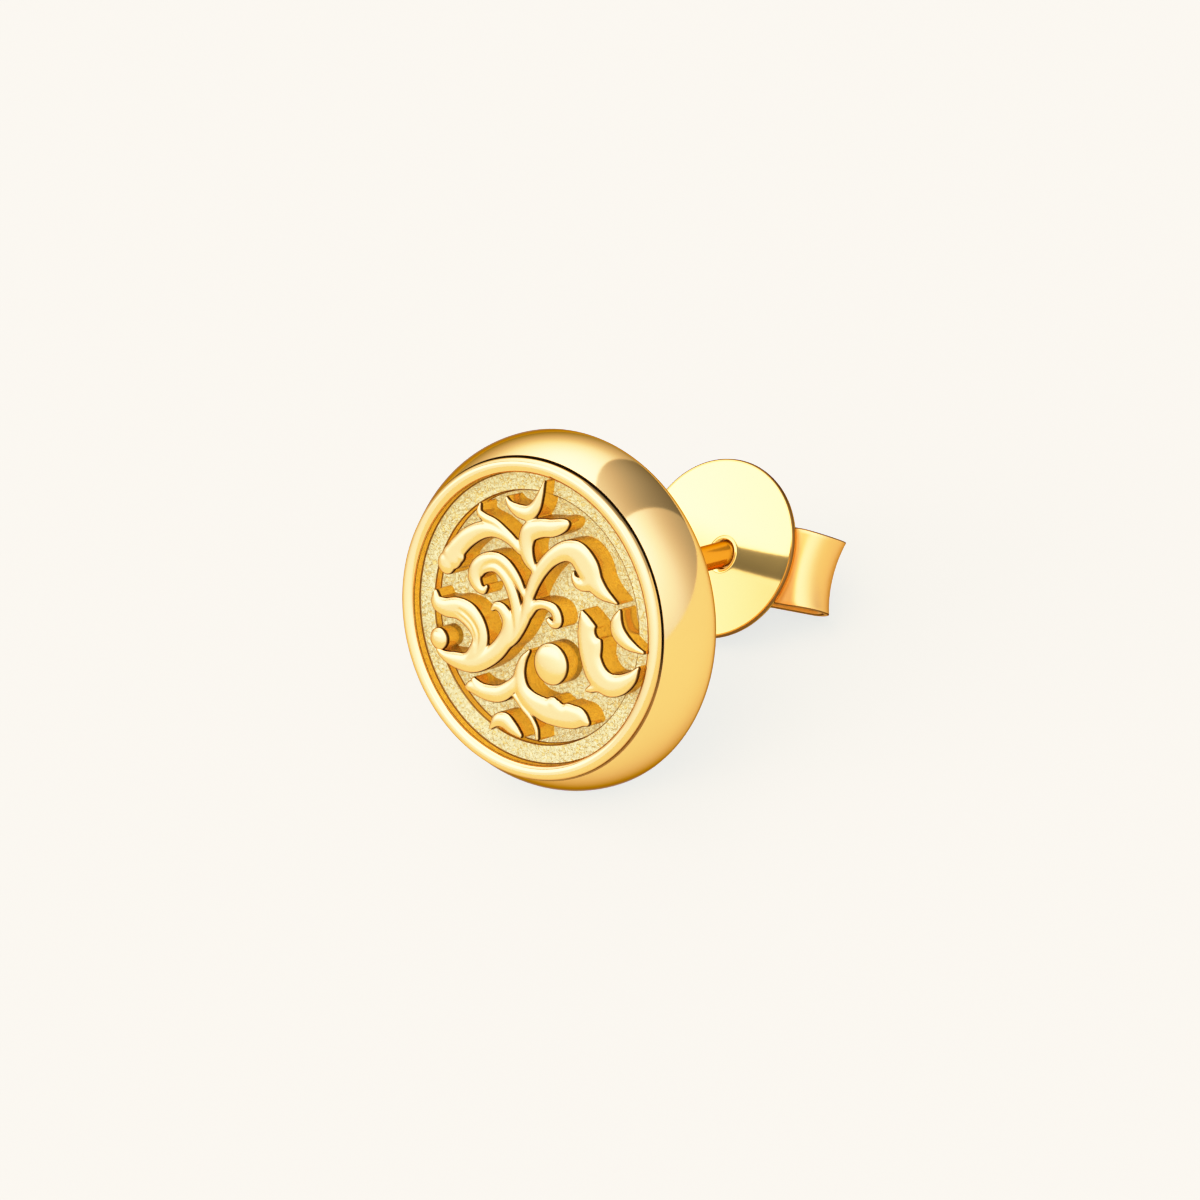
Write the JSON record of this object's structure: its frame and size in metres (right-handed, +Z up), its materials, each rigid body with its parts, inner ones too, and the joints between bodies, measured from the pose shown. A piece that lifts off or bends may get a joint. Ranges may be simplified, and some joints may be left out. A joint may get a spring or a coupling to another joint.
{
  "type": "stud earring with butterfly back",
  "caption": "Round gold stud earring: a thick disc with a polished ring round a raised scroll relief, on a straight post that carries a sliding butterfly back.",
  "frame": {"origin": "middle of the box that holds the part, on the surface that it lies on", "axes": "+Z up, +Y from the face of the head towards the tip of the post, +X to the right of someone who looks at the face"},
  "size_m": [0.011, 0.014, 0.0102],
  "materials": {
    "head_gold": "polished yellow gold on the ring, wall, scroll sides and post; frosted ground",
    "back_gold": "bright polished yellow gold sheet"
  },
  "bodies": {
    "head": {"stud_head": "head_gold"},
    "back": {"butterfly_back": "back_gold"}
  },
  "joints": [
    {"name": "back_slide", "type": "slide", "parent": "head", "child": "back", "axis": [0, 0.9019, -0.4319], "range_m": [-0.0057, 0.0032]}
  ]
}
